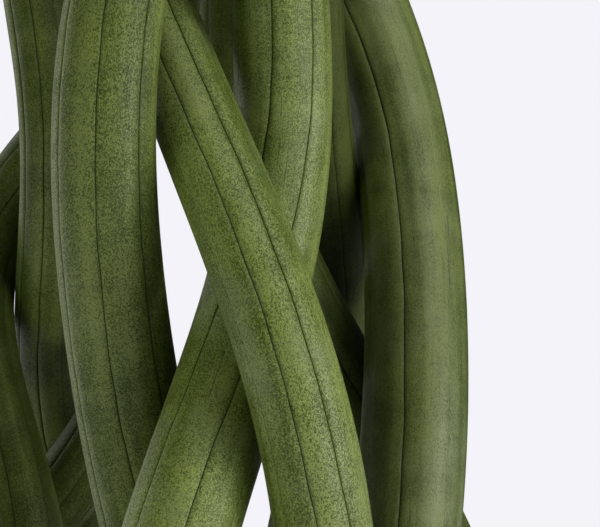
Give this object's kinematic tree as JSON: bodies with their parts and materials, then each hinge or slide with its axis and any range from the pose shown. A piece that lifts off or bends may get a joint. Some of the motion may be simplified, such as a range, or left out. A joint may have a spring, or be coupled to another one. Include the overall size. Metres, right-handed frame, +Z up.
{
  "type": "braided cylindrical snake plant in a pot",
  "caption": "Round upright leaves plaited in flat braids, each tied below its pointed tips, growing from soil in a tapered clay pot with a rim band and a drain hole.",
  "frame": {"origin": "middle of the pot's foot, on the surface it stands on", "axes": "+Z up along the leaves, -Y towards the front braid, +X to the right seen from the front"},
  "size_m": [0.21, 0.21, 0.81],
  "materials": {
    "leaf": "satin",
    "band": "matte",
    "soil": "matte",
    "pot": "matte"
  },
  "bodies": {
    "root": {"pot": "pot", "soil": "soil", "leaf_front_1": "leaf", "leaf_front_2": "leaf", "leaf_front_3": "leaf", "leaf_right_1": "leaf", "leaf_right_2": "leaf", "leaf_right_3": "leaf", "leaf_left_1": "leaf", "leaf_left_2": "leaf", "leaf_left_3": "leaf", "band_front": "band", "band_right": "band", "band_left": "band"}
  },
  "joints": []
}
